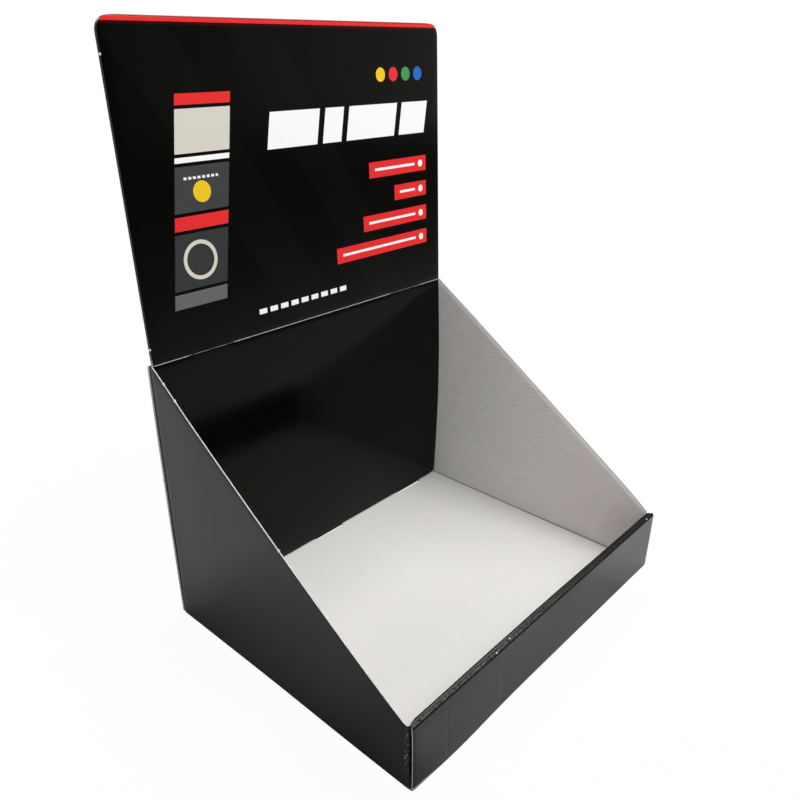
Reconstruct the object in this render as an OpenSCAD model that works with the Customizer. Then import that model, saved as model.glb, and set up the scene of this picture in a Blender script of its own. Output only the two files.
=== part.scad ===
// Counter display folded from two sheets of thin corrugated board:
// a tray with slanted sides and a rolled front lip, and a header card that stands inside its back wall.
// The origin is the centre of the tray's footprint on the counter. The front looks along -Y.

/* [Tray] */
// Outside width of the tray
tray_w = 272; // [220:1:340]
// Outside depth of the tray
tray_d = 217; // [160:1:280]
// Height of the back wall
back_h = 187.5; // [120:0.5:260]
// Height of the rolled front lip
front_h = 47; // [30:0.5:80]
// Length of the flaps tucked behind the front wall
front_flap_l = 77; // [30:1:90]
// Length of the flaps tucked in front of the back wall
rear_flap_l = 78; // [30:1:90]
// Slope cut on each tuck flap's free end
flap_taper = 6; // [2:0.5:10]

/* [Board] */
// Thickness of the board
board_t = 1.3; // [1.1:0.1:2]
// Inside radius of a fold
fold_r = 0.4; // [0.2:0.1:0.8]
// Gap between plies that lie face to face
ply_gap = 0.3; // [0.2:0.1:0.8]
// Clearance of a tab in its slot, and of a panel between the sides
fit_gap = 0.4; // [0.2:0.1:0.8]
// Gap between the front wall and the flaps tucked behind it
lip_gap = 1.2; // [0.3:0.1:2]
// Height of a locked tab's end above the counter
tab_lift = 0.2; // [0.1:0.1:0.5]

/* [Lip lock] */
// Width of a lip tab
lip_tab_w = 40; // [20:1:60]
// Distance from the end of the lip's inner wall to its tab
lip_tab_inset = 45; // [20:1:60]

/* [Header card] */
// Height of the header above its crease
header_h = 190; // [120:1:240]
// Backward lean of the header, in degrees
header_lean = 2.1; // [0.5:0.1:6]
// Height of the crease above the back wall's top edge
crease_rise = 0.7; // [0.4:0.1:3]
// Radius of the header's top corners
header_corner_r = 8.5; // [4:0.5:25]
// Gap between the header's two layers
layer_gap = 0.2; // [0.1:0.1:0.6]
// Radius of the inner panel's bottom corners
panel_corner_r = 4; // [2:0.5:20]
// Number of tabs that lock the card in the floor
card_tab_n = 3; // [2:1:4]
// Width of a card tab
card_tab_w = 30; // [15:1:40]
// Distance from the card's side edge to its outer tabs
card_tab_inset = 21.5; // [12:0.5:40]

/* [Cut score] */
// Length of the cut at each end of the crease
score_end_l = 25; // [10:1:35]
// Length of the uncut bridge beside each end cut
score_bridge_l = 34; // [15:1:45]
// Width of the opened cut
score_w = 0.6; // [0.3:0.1:1]
// Depth of the cut into the board
score_d = 0.7; // [0.3:0.1:0.9]

/* [Hidden] */
$fn = 64;
board_color = "#232325";
card_color = "#161618";
// Overrun of a cutting shape past the face that it cuts
cut_over = 1;
// Length by which a fold runs on into the flat board beside it
fold_tail = fold_r;

// Outside radius of a fold, and the planes that the walls stand on
bend_r = board_t + fold_r;
side_x = tray_w / 2;
front_y = -tray_d / 2;
back_y = tray_d / 2;

// Rolled lip: outer wall, tucked flap and inner wall, with a gap on each side of the flap
lip_d = 3 * board_t + lip_gap + ply_gap;
front_flap_y = front_y + board_t + lip_gap;
lip_inner_y = front_y + lip_d - board_t;
lip_inner_w = tray_w - 2 * (board_t + fit_gap);
lip_inner_z = board_t + fit_gap;

// Back: back wall, tucked flap and header card, with a gap on each side of the flap
rear_flap_y = back_y - 2 * board_t - ply_gap;
card_y = back_y - 3 * board_t - 2 * ply_gap;
card_w = lip_inner_w;
crease_z = back_h + crease_rise;

// Side walls run between the folds of their own flaps
side_y0 = front_flap_y + bend_r;
side_y1 = rear_flap_y + board_t - bend_r;
side_front_h = front_h - board_t - ply_gap;

// Centres of the tabs across the tray
lip_tab_x = lip_inner_w / 2 - lip_tab_inset - lip_tab_w / 2;
card_tab_x = card_w / 2 - card_tab_inset - card_tab_w / 2;
card_tab_step = 2 * card_tab_x / (card_tab_n - 1);
lip_tabs = [-lip_tab_x, lip_tab_x];
card_tabs = [for (i = [0 : card_tab_n - 1]) -card_tab_x + i * card_tab_step];

// Header layers: outer radius of the fold at the top, and the length of each flat layer
top_bend_r = board_t + layer_gap / 2;
layer_l = header_h - top_bend_r;

// Draws a profile in (y, z) as a strip of the given width across the tray
module across(width) {
    translate([-width / 2, 0, 0])
        rotate([90, 0, 90])
            linear_extrude(width)
                children();
}

// Draws an outline in (x, z) as a sheet of the given depth, with its front face at y
module upright(y, depth = board_t) {
    translate([0, y + depth, 0])
        rotate([90, 0, 0])
            linear_extrude(depth)
                children();
}

// Draws its children on the right, and again on the left
module both_sides() {
    children();
    mirror([1, 0, 0])
        children();
}

// Quarter of a bent board about the origin, from the sheet below to the sheet on the left
module bend_2d() {
    intersection() {
        difference() {
            circle(bend_r);
            circle(fold_r);
        }
        translate([-bend_r, -bend_r])
            square(bend_r);
    }
    translate([0, -bend_r])
        square([fold_tail, board_t]);
    translate([-bend_r, 0])
        square([board_t, fold_tail]);
}

// Corner left over outside a quarter circle about the origin
module corner_waste_2d(r) {
    difference() {
        square(r + cut_over);
        circle(r);
    }
}

// Slot in the floor for a tab of the given width, about the tab's centre and front face
module floor_slot(x, y, width) {
    translate([x - width / 2 - fit_gap, y - fit_gap, -cut_over])
        cube([width + 2 * fit_gap, board_t + 2 * fit_gap, board_t + 2 * cut_over]);
}

// Floor between the four bottom folds, with the slots that the tabs lock into
module floor_panel() {
    difference() {
        translate([-side_x + bend_r, front_y + bend_r, 0])
            cube([tray_w - 2 * bend_r, tray_d - 2 * bend_r, board_t]);
        for (x = lip_tabs)
            floor_slot(x, lip_inner_y, lip_tab_w);
        for (x = card_tabs)
            floor_slot(x, card_y, card_tab_w);
    }
}

// Section of the rolled front: bottom fold, outer wall, top strip and inner wall
module front_profile() {
    translate([front_y + bend_r, bend_r])
        bend_2d();
    translate([front_y, bend_r])
        square([board_t, front_h - 2 * bend_r]);
    translate([front_y + bend_r, front_h - bend_r])
        mirror([0, 1])
            bend_2d();
    translate([front_y + bend_r, front_h - board_t])
        square([lip_d - 2 * bend_r, board_t]);
    translate([front_y + lip_d - bend_r, front_h - bend_r])
        rotate(180)
            bend_2d();
    translate([lip_inner_y, lip_inner_z])
        square([board_t, front_h - bend_r - lip_inner_z]);
}

// Plan of the rolled front: the strip narrows so that the inner wall passes between the sides
module front_plan() {
    strip_y = front_y + lip_d - bend_r;
    polygon([
        [-side_x, front_y],
        [side_x, front_y],
        [side_x, front_y + board_t],
        [lip_inner_w / 2, strip_y],
        [lip_inner_w / 2, front_y + lip_d],
        [-lip_inner_w / 2, front_y + lip_d],
        [-lip_inner_w / 2, strip_y],
        [-side_x, front_y + board_t]
    ]);
}

// Rolled front with its two lock tabs
module rolled_front() {
    intersection() {
        across(tray_w)
            front_profile();
        linear_extrude(front_h)
            front_plan();
    }
    for (x = lip_tabs)
        translate([x - lip_tab_w / 2, lip_inner_y, tab_lift])
            cube([lip_tab_w, board_t, lip_inner_z - tab_lift]);
}

// Back wall and its bottom fold
module back_wall() {
    across(tray_w) {
        translate([back_y - bend_r, bend_r])
            mirror([1, 0])
                bend_2d();
        translate([back_y - board_t, bend_r])
            square([board_t, back_h - bend_r]);
    }
}

// Right side wall with its slanted top edge, and the fold along the floor
module side_wall() {
    translate([side_x - board_t, 0, 0])
        rotate([90, 0, 90])
            linear_extrude(board_t)
                polygon([
                    [side_y0, bend_r],
                    [side_y1, bend_r],
                    [side_y1, back_h],
                    [side_y1 - fold_tail, back_h],
                    [side_y0, side_front_h]
                ]);
    translate([side_x - bend_r, side_y1, bend_r])
        rotate([90, 0, 0])
            linear_extrude(side_y1 - side_y0)
                mirror([1, 0])
                    bend_2d();
}

// Tuck flap of the given length and height, running inwards from the right side's fold
module tuck_flap(y, length, height) {
    root_x = side_x - bend_r;
    tip_x = root_x - length;
    upright(y)
        polygon([
            [root_x, bend_r],
            [root_x, height],
            [tip_x, height - flap_taper],
            [tip_x, bend_r + flap_taper]
        ]);
}

// Flaps of the right side wall and the upright folds that carry them
module side_flaps() {
    translate([side_x - bend_r, side_y0, bend_r])
        linear_extrude(side_front_h - bend_r)
            mirror([1, 0])
                bend_2d();
    tuck_flap(front_flap_y, front_flap_l, side_front_h);
    translate([side_x - bend_r, side_y1, bend_r])
        linear_extrude(back_h - bend_r)
            rotate(180)
                bend_2d();
    tuck_flap(rear_flap_y, rear_flap_l, back_h);
}

// Tray: one folded sheet
module tray() {
    color(board_color) {
        floor_panel();
        rolled_front();
        back_wall();
        both_sides() {
            side_wall();
            side_flaps();
        }
    }
}

// Places its children in the header's own leaning frame, about the back of the crease
module leaning() {
    translate([0, card_y + board_t, crease_z])
        rotate([-header_lean, 0, 0])
            children();
}

// Section of the inner panel, whose tapered top runs up into the header's front layer
module panel_profile() {
    polygon([
        [card_y, board_t],
        [card_y + board_t, board_t],
        [card_y + board_t, crease_z],
        [card_y + board_t / 2, crease_z + fold_tail],
        [card_y, crease_z]
    ]);
}

// Section of the header's two layers and the fold at its top, about the back of the crease
module header_profile() {
    for (x = [-board_t, layer_gap])
        translate([x, 0])
            square([board_t, layer_l]);
    translate([layer_gap / 2, layer_l])
        intersection() {
            difference() {
                circle(top_bend_r);
                circle(layer_gap / 2);
            }
            translate([-top_bend_r, 0])
                square([2 * top_bend_r, top_bend_r]);
        }
}

// Cuts along the crease that leave the front liner whole only at the two bridges
module crease_cuts() {
    bridge_x = card_w / 2 - score_end_l;
    centre_x = bridge_x - score_bridge_l;
    for (span = [[-centre_x, centre_x], [bridge_x, card_w / 2 + cut_over], [-card_w / 2 - cut_over, -bridge_x]])
        translate([span[0], card_y - cut_over, crease_z - score_w / 2])
            cube([span[1] - span[0], cut_over + score_d, score_w]);
}

// Waste outside the rounded corners at the header's top and the panel's bottom, on the right
module card_corner_waste() {
    leaning()
        upright(-board_t - cut_over, 2 * top_bend_r + 2 * cut_over)
            translate([card_w / 2 - header_corner_r, header_h - header_corner_r])
                corner_waste_2d(header_corner_r);
    upright(card_y - cut_over, board_t + 2 * cut_over)
        translate([card_w / 2 - panel_corner_r, board_t + panel_corner_r])
            mirror([0, 1])
                corner_waste_2d(panel_corner_r);
}

// Header card: one folded sheet, standing on the floor between the sides
module header_card() {
    color(card_color) {
        difference() {
            union() {
                across(card_w)
                    panel_profile();
                leaning()
                    across(card_w)
                        header_profile();
            }
            both_sides()
                card_corner_waste();
            crease_cuts();
        }
        for (x = card_tabs)
            translate([x - card_tab_w / 2, card_y, tab_lift])
                cube([card_tab_w, board_t, board_t - tab_lift]);
    }
}

tray();
header_card();
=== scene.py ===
"""Folds and prints a counter display of corrugated board, and sets it in a white studio.

All sizes are metres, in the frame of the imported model: +Z up, the front lip towards -Y.
"""
import math
from typing import NamedTuple

import bpy
import numpy as np
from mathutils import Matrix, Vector


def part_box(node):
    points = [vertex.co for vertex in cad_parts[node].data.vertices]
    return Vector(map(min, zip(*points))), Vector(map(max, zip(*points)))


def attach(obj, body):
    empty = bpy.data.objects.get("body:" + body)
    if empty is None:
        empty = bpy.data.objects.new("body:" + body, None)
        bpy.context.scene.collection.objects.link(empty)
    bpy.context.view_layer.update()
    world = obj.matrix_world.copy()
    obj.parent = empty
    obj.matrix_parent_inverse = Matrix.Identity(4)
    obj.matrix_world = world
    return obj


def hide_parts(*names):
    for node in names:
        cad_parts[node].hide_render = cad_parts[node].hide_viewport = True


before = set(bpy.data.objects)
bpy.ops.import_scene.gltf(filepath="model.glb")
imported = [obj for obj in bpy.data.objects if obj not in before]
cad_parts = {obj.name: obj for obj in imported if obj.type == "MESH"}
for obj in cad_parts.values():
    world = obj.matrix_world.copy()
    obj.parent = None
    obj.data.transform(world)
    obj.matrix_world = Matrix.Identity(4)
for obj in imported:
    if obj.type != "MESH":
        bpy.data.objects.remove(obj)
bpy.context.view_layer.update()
TRAY_LOW, TRAY_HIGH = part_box("tray")
CARD_LOW, CARD_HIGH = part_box("header_card")

bl_info = {
    "name": "Counter display folder",
    "version": (1, 0, 0),
    "blender": (4, 5, 0),
    "location": "View3D > Sidebar > Display",
    "description": "Folds a tray and a header card from corrugated board and prints them",
    "category": "Object",
}

MM = 0.001
QUARTER = math.pi / 2
PRINT, LINER, CORE = 0, 1, 2
# Distance over which a fold marks the flat board beside it
FOLD_REACH = 0.9 * MM
# Nicks that held the sheets in their waste: along the left side, up the back wall's edge and up the
# header's edge
SIDE_NICKS = np.array([93.3, 82.3, -9.2]) * MM
BACK_NICKS = np.array([107.3]) * MM
HEADER_NICKS = np.array([171.4, 10.6]) * MM
# Places across the lip where the ink has chipped, and how far round the front fold
LIP_CHIPS = np.array([-62.2, -47.5, 126.2]) * MM
CHIP_TURNS = np.radians([60.0, 108.0, 60.0])
# Distance below which two lines of a grid are taken as one
HAIR = 0.01 * MM
# Depth on the blank that marks bare paper below the print
BARE_DEPTH = 2 * MM


def number(name, description, default, unit="NONE"):
    """A property that holds a number in the given unit."""
    return bpy.props.FloatProperty(name=name, description=description, default=default, unit=unit)


def length(name, description, default):
    """A property that holds a length in metres."""
    return number(name, description, default, "LENGTH")


def point(name, description, default):
    """A property that holds a place in metres."""
    return bpy.props.FloatVectorProperty(
        name=name, description=description, default=default, subtype="TRANSLATION", size=3)


def colour(name, description, default):
    """A property that holds a linear colour."""
    return bpy.props.FloatVectorProperty(
        name=name, description=description, default=default, subtype="COLOR", size=3, min=0.0, max=1.0)


class BoardSizes(bpy.types.PropertyGroup):
    """Sizes of the corrugated board and its folds."""

    board_t: length("Board", "Thickness of the board", 1.3 * MM)
    crush: number("Crush", "Share of the thickness that the die presses out of a cut edge", 0.45)
    crush_reach: length("Crush reach", "Distance from a cut edge to board of full thickness", 2.2 * MM)
    fold_r: length("Fold", "Inside radius of a fold", 0.4 * MM)
    ply_gap: length("Ply gap", "Gap between plies that lie face to face", 0.3 * MM)
    fit_gap: length("Fit gap", "Clearance of a tab in its slot", 0.4 * MM)
    lip_gap: length("Lip gap", "Gap between the front wall and the flaps behind it", 1.2 * MM)
    tab_lift: length("Tab lift", "Height of a tab's end above the counter", 0.2 * MM)
    flute_pitch: length("Flute pitch", "Distance from one flute to the next", 3.57 * MM)
    washboard: length("Washboard", "Height of the flutes that show through a liner", 0.036 * MM)


class TraySizes(bpy.types.PropertyGroup):
    """Sizes of the tray."""

    width: length("Width", "Outside width", TRAY_HIGH.x - TRAY_LOW.x)
    depth: length("Depth", "Outside depth", TRAY_HIGH.y - TRAY_LOW.y)
    back_h: length("Back", "Height of the back wall", TRAY_HIGH.z)
    front_h: length("Front", "Height of the rolled lip", 47 * MM)
    front_flap_l: length("Front flap", "Length of a front tuck flap", 77 * MM)
    rear_flap_l: length("Rear flap", "Length of a rear tuck flap", 78 * MM)
    flap_taper: length("Flap taper", "Slope cut on a flap's free end", 6 * MM)
    tab_w: length("Lip tab", "Width of a lip tab", 40 * MM)
    tab_inset: length("Lip tab inset", "Distance from the lip's end to its tab", 45 * MM)
    bow_left: length("Left bow", "Outward bow of the left side", 2.0 * MM)
    bow_right: length("Right bow", "Outward bow of the right side", 2.0 * MM)
    belly_left: number("Left belly", "Power that moves the left bow's belly along the side", 0.65)
    belly_right: number("Right belly", "Power that moves the right bow's belly along the side", 0.35)
    splay: length("Splay", "Outward splay of a side's foot at the front", 0.8 * MM)
    foot_bulge: length("Foot bulge", "Outward bulge of the front wall's foot", 1.3 * MM)
    back_bow: length("Back bow", "Backward bow of the back wall's edges", 0.9 * MM)
    rear_inset: length("Rear inset", "Inset of a side at its rear fold", 0.6 * MM)
    ripple: length("Lip ripple", "Height of the crushed flutes along the lip", 0.16 * MM)
    score_d: length("Lip score", "Depth of the scored lines along the lip", 0.22 * MM)
    flap_step: length("Flap step", "Step of the front wall over the end of the tucked flap", 0.14 * MM)
    dent: length("Dent", "Depth of the dent near the front wall's left end", 0.10 * MM)
    wall_wave: length("Wall wave", "Unevenness of the front wall", 0.16 * MM)
    strip_swing: length("Strip swing", "Swing of the lip's inner edge, forwards at its left end", 0.5 * MM)
    end_inset: length("End inset", "Inset of the inner wall at its left end", 3.5 * MM)
    flare: length("Flare", "Outward spread of the lip's right end", 0.8 * MM)


class HeaderSizes(bpy.types.PropertyGroup):
    """Sizes of the header card."""

    width: length("Width", "Width of the card", CARD_HIGH.x - CARD_LOW.x)
    face_y: length("Face", "Place of the inner panel's printed face", CARD_LOW.y)
    height: length("Height", "Height of the header above its crease", 190 * MM)
    lean: bpy.props.FloatProperty(
        name="Lean", description="Backward lean of the header", default=math.radians(2.1), subtype="ANGLE")
    crease_rise: length("Crease rise", "Height of the crease above the back wall", 0.7 * MM)
    corner_r: length("Corner", "Radius of the header's top corners", 8.5 * MM)
    layer_gap: length("Layer gap", "Gap between the header's layers", 0.2 * MM)
    panel_corner_r: length("Panel corner", "Radius of the panel's bottom corners", 4 * MM)
    tab_n: bpy.props.IntProperty(name="Tabs", description="Number of tabs", default=3)
    tab_w: length("Tab", "Width of a tab", 30 * MM)
    tab_inset: length("Tab inset", "Distance from the card's edge to its outer tab", 21.5 * MM)
    score_end_l: length("End cut", "Length of the cut at each end of the crease", 25 * MM)
    score_bridge_l: length("Bridge", "Length of the uncut bridge beside an end cut", 34 * MM)
    panel_bow: length("Panel bow", "Forward bow of the inner panel", 3.5 * MM)
    top_curl: length("Top curl", "Backward curl of the header's top edge", 0.4 * MM)
    settle: length("Settle", "Drop of the header's top edge", 0.25 * MM)
    skew: length("Skew", "Leftward lean of the header's left edge", 0.5 * MM)
    sag: length("Sag", "Drop of the crease at its right end", 1.05 * MM)
    foot_lift: length("Foot lift", "Height of the panel's foot above the floor at its right end", 1.3 * MM)
    band_h: length("Band", "Height of the red band", 2.9 * MM)


class PrintColours(bpy.types.PropertyGroup):
    """Linear colours of the print and the bare board."""

    satin_black: colour("Satin black", "Print on the tray", (0.0060, 0.0062, 0.0066))
    # Painted glint: ink lightened for the glints of the lip's crushed flutes and the highlight on the sides'
    # rear folds
    glinting: colour("Glinting", "Ink rubbed thin on the lip's crushed flutes", (0.105, 0.104, 0.099))
    gloss_black: colour("Gloss black", "Print on the card", (0.0007, 0.0007, 0.0005))
    tone_black: colour("Tone stripe", "Paler stripes in the card's black", (0.0020, 0.0020, 0.0017))
    liner: colour("Liner", "White uncoated inside liner", (0.80, 0.785, 0.765))
    core: colour("Core", "Paper of the flutes and cut liners", (0.82, 0.805, 0.78))
    hollow: colour("Hollow", "Shade inside a cut flute", (0.58, 0.57, 0.555))
    red: colour("Red", "Band and labels", (0.80, 0.030, 0.032))
    white: colour("White", "Printed white", (0.95, 0.95, 0.95))
    cream: colour("Cream", "Pale band of the pillar", (0.68, 0.65, 0.58))
    grey: colour("Grey", "Middle bands of the pillar", (0.13, 0.135, 0.14))
    yellow: colour("Yellow", "Accent dots", (0.85, 0.58, 0.02))
    green: colour("Green", "Accent dot", (0.06, 0.30, 0.08))
    blue: colour("Blue", "Accent dot", (0.02, 0.14, 0.50))


class StudioLevels(bpy.types.PropertyGroup):
    """Lamps, surroundings and camera."""

    ambient: number("Ambient", "Level of the surroundings as diffuse light", 0.54)
    dim: number("Dim side", "Level of the room behind the camera as the gloss mirrors it", 0.13)
    rear_w: number("Rear", "Power of the softbox at the rear right", 4.6, "POWER")
    rear_size: length("Rear size", "Width of the rear softbox", 0.55)
    rear_at: point("Rear place", "Place of the rear softbox", (0.60, 0.50, 1.30))
    front_w: number("Front", "Power of the softbox above the front", 14.9, "POWER")
    front_size: length("Front size", "Width of the front softbox", 0.8)
    front_at: point("Front place", "Place of the front softbox", (0.25, -0.62, 1.40))
    aim_at: point("Aim", "Place that both softboxes face", (0.0, 0.0, 0.1))
    camera_at: point("Camera place", "Place of the camera", (-352.27 * MM, -295.78 * MM, 363.39 * MM))
    camera_turn: bpy.props.FloatVectorProperty(
        name="Camera turn", description="Turn of the camera", size=3, subtype="EULER",
        default=(math.radians(64.624), math.radians(-0.229), math.radians(-47.781)))
    camera_lens: number("Lens", "Focal length on a 36 mm sensor", 34.61, "CAMERA")
    camera_shift: bpy.props.FloatVectorProperty(
        name="Shift", description="Shift of the frame", size=2, default=(-0.0034, 0.0129))


# Folded board


class Run(NamedTuple):
    """Stretch of board: distances along a flat, or angles along a bend of the given outer radius."""

    steps: np.ndarray
    radius: float = 0.0


class Chain(NamedTuple):
    """Printed face of a folded board in one plane."""

    points: np.ndarray
    normals: np.ndarray
    flat: np.ndarray
    fold: np.ndarray


class Shell(NamedTuple):
    """Closed sheet of board: corners, quads, each quad's material and blank coordinates, and fold weight."""

    corners: np.ndarray
    quads: np.ndarray
    slots: np.ndarray
    blank: np.ndarray
    fold: np.ndarray


def flat_run(size, count):
    """Flat of the given size, with two close lines at each end and count even steps between."""
    edge = np.array([0.0, 0.7 * MM, 2.2 * MM])
    inner = np.linspace(5 * MM, size - 5 * MM, count + 1)
    return Run(np.concatenate([edge, inner, size - edge[::-1]]))


def plain_run(size, count):
    """Flat of the given size in count even steps."""
    return Run(np.linspace(0.0, size, count + 1))


def bend_run(radius, angle=QUARTER, count=8):
    """Bend of the given outer radius through the given angle."""
    return Run(np.linspace(0.0, angle, count + 1), radius)


def left_of(heading):
    """Heading turned a quarter turn anticlockwise."""
    return np.array([-heading[1], heading[0]])


def right_of(normal):
    """Normal turned a quarter turn clockwise."""
    return np.array([normal[1], -normal[0]])


def fold_chain(start, heading, runs):
    """Carries the printed face along flats and clockwise bends, with the printed side on the left.

    A flat adds start + step * heading. A bend turns the normal n clockwise about start - radius * n.
    The fold weight is exp(-(d / FOLD_REACH)^2), with d the distance along the board to the nearest bend.
    """
    at = np.array(start, dtype=float)
    normal = left_of(heading)
    points, normals, flat, bends = [at[None]], [normal[None]], [np.zeros(1)], []
    done = 0.0
    for run in runs:
        steps = run.steps[1:, None]
        if run.radius:
            turned = normal * np.cos(steps) + right_of(normal) * np.sin(steps)
            points.append(at + run.radius * (turned - normal))
            normals.append(turned)
            stretch = run.radius * run.steps[1:]
            bends.append((done, done + stretch[-1]))
            normal = turned[-1]
        else:
            points.append(at + steps * right_of(normal))
            normals.append(np.repeat(normal[None], len(steps), axis=0))
            stretch = run.steps[1:]
        flat.append(done + stretch)
        at = points[-1][-1]
        done += stretch[-1]
    flat = np.concatenate(flat)
    gaps = [np.maximum(np.maximum(low - flat, flat - high), 0.0) for low, high in bends]
    fold = np.exp(-(np.min(gaps, axis=0) / FOLD_REACH) ** 2)
    return Chain(np.concatenate(points), np.concatenate(normals), flat, fold)


def spread_chain(chain, x):
    """Spreads a chain over the places x across the board.

    Gives the printed face's corners and normals, the distance along the blank and the fold weight.
    """
    y, z, normal_y, normal_z, along, fold = np.broadcast_arrays(
        *chain.points.T, *chain.normals.T, chain.flat, chain.fold, x)[:6]
    outer = np.stack([x, y, z], axis=-1)
    normal = np.stack([np.zeros_like(x), normal_y, normal_z], axis=-1)
    return outer, normal, along, fold


def sheet_shell(outer, inner, flat, fold, keep=None, paint=None, open_first=None, open_last=None):
    """Closes a grid of board into a shell: printed quads, liner quads, and a rim along every cut.

    outer and inner are grids of corners, flat the grid's place on the unfolded blank and keep the cells
    that the die leaves. A rim quad joins outer and inner wherever a kept cell has no kept neighbour. The
    first and last rows stay open where open_first and open_last say so. A rim's blank coordinates are the
    flute coordinate and the depth into the board.
    """
    rows, columns = outer.shape[:2]
    cells = (rows - 1, columns - 1)
    keep = np.ones(cells, bool) if keep is None else keep
    paint = np.full(cells, PRINT) if paint is None else paint
    here = np.arange(rows * columns).reshape(rows, columns)
    under = rows * columns
    top = np.stack([here[:-1, :-1], here[1:, :-1], here[1:, 1:], here[:-1, 1:]], axis=-1)[keep]
    around = np.pad(keep, 1)
    if open_first is not None:
        around[0, 1:-1] = keep[0] & open_first
    if open_last is not None:
        around[-1, 1:-1] = keep[-1] & open_last
    rims = []
    for first, second, before, after, turn in (
            (here[:, :-1], here[:, 1:], around[:-1, 1:-1], around[1:, 1:-1], True),
            (here[:-1, :], here[1:, :], around[1:-1, :-1], around[1:-1, 1:], False)):
        for edge, flip in ((before & ~after, turn), (after & ~before, not turn)):
            a, b = first[edge], second[edge]
            quad = np.stack([a, b, b + under, a + under], axis=-1)
            rims.append(quad[:, ::-1] if flip else quad)
    rim = np.concatenate(rims)
    quads = np.concatenate([top, top[:, ::-1] + under, rim])
    across = outer[1:, :-1] - outer[:-1, :-1]
    along = outer[:-1, 1:] - outer[:-1, :-1]
    facing = np.sum(np.cross(across, along) * (outer - inner)[:-1, :-1], axis=-1)
    if facing[keep].sum() < 0:
        quads = quads[:, ::-1]
    slots = np.concatenate([paint[keep], np.full(len(top), LINER), np.full(len(rim), CORE)])
    blank = flat.reshape(-1, 2)[quads % under]
    depth = np.linalg.norm((outer - inner).reshape(-1, 3), axis=-1)[quads % under] * (quads >= under)
    blank[:, :, 1] = np.where(slots[:, None] == CORE, depth, blank[:, :, 1])
    groove = np.zeros(len(quads), bool)
    groove[:len(top)] = paint[keep] == CORE
    blank[groove, :, 1] = BARE_DEPTH
    corners = np.concatenate([outer.reshape(-1, 3), inner.reshape(-1, 3)])
    return Shell(corners, quads, slots, blank, np.tile(fold.reshape(-1), 2))


def join_shells(shells):
    """Puts shells into one, without welding them."""
    starts = np.cumsum([0] + [len(s.corners) for s in shells[:-1]])
    quads = [s.quads + start for s, start in zip(shells, starts)]
    corners, slots, blank, fold = [np.concatenate([getattr(s, part) for s in shells])
                                   for part in ("corners", "slots", "blank", "fold")]
    return Shell(corners, np.concatenate(quads), slots, blank, fold)


def weld_shell(shell):
    """Welds corners that share a place to a micrometre, and drops the corners that no quad uses."""
    used, quads = np.unique(shell.quads, return_inverse=True)
    quads = quads.reshape(shell.quads.shape)
    places = np.round(shell.corners[used] / (0.001 * MM)).astype(np.int64)
    _, first, same = np.unique(places, axis=0, return_index=True, return_inverse=True)
    return Shell(shell.corners[used][first], same.reshape(-1)[quads], shell.slots, shell.blank,
                 shell.fold[used][first])


def mirror_shell(shell):
    """Mirrors a shell about the plane x = 0, and turns its quads so that they still face outwards."""
    corners = shell.corners * np.array([-1.0, 1.0, 1.0])
    blank = shell.blank * np.array([-1.0, 1.0])
    return Shell(corners, shell.quads[:, ::-1], shell.slots, blank[:, ::-1], shell.fold)


def add_piece(name, shell, finishes):
    """Makes a mesh object at the origin from a shell, with its blank coordinates and fold weight."""
    mesh = bpy.data.meshes.new(name)
    mesh.vertices.add(len(shell.corners))
    mesh.vertices.foreach_set("co", shell.corners.ravel())
    mesh.loops.add(shell.quads.size)
    mesh.loops.foreach_set("vertex_index", shell.quads.ravel().astype(np.int32))
    mesh.polygons.add(len(shell.quads))
    mesh.polygons.foreach_set("loop_start", np.arange(0, shell.quads.size, 4, dtype=np.int32))
    mesh.polygons.foreach_set("material_index", shell.slots.astype(np.int32))
    mesh.update(calc_edges=True)
    mesh.uv_layers.new(name="blank").data.foreach_set("uv", shell.blank.ravel())
    mesh.attributes.new("fold", "FLOAT", "POINT").data.foreach_set("value", shell.fold)
    mesh.polygons.foreach_set("use_smooth", np.ones(len(shell.quads), bool))
    mesh.set_sharp_from_angle(angle=math.radians(40))
    for finish in finishes:
        mesh.materials.append(finish)
    if mesh.validate():
        raise RuntimeError(f"{name} has faulty faces")
    piece = bpy.data.objects.new(name, mesh)
    bpy.context.scene.collection.objects.link(piece)
    return piece


def smooth_step(low, high, at):
    """Rises from 0 at low to 1 at high, level at both ends."""
    t = np.clip((at - low) / (high - low), 0.0, 1.0)
    return t * t * (3.0 - 2.0 * t)


def bell(centre, spread, at):
    """Bell curve of height 1."""
    return np.exp(-((at - centre) / spread) ** 2)


def press_edges(board, outer, normal, gap):
    """Printed face and liner of a board whose cut edges the die has pressed.

    Each face moves in by crush * t / 2 at a cut edge and by nothing from crush_reach on, with gap the
    distance to the edge.
    """
    press = board.crush * board.board_t / 2 * smooth_step(board.crush_reach, 0.0, gap)
    return outer - press[..., None] * normal, outer - (board.board_t - press)[..., None] * normal


def edge_places(flat, edge, at):
    """Places on an edge at the given distances along the blank."""
    return np.stack([np.interp(at, flat, edge[:, axis]) for axis in range(3)], axis=-1)


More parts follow.
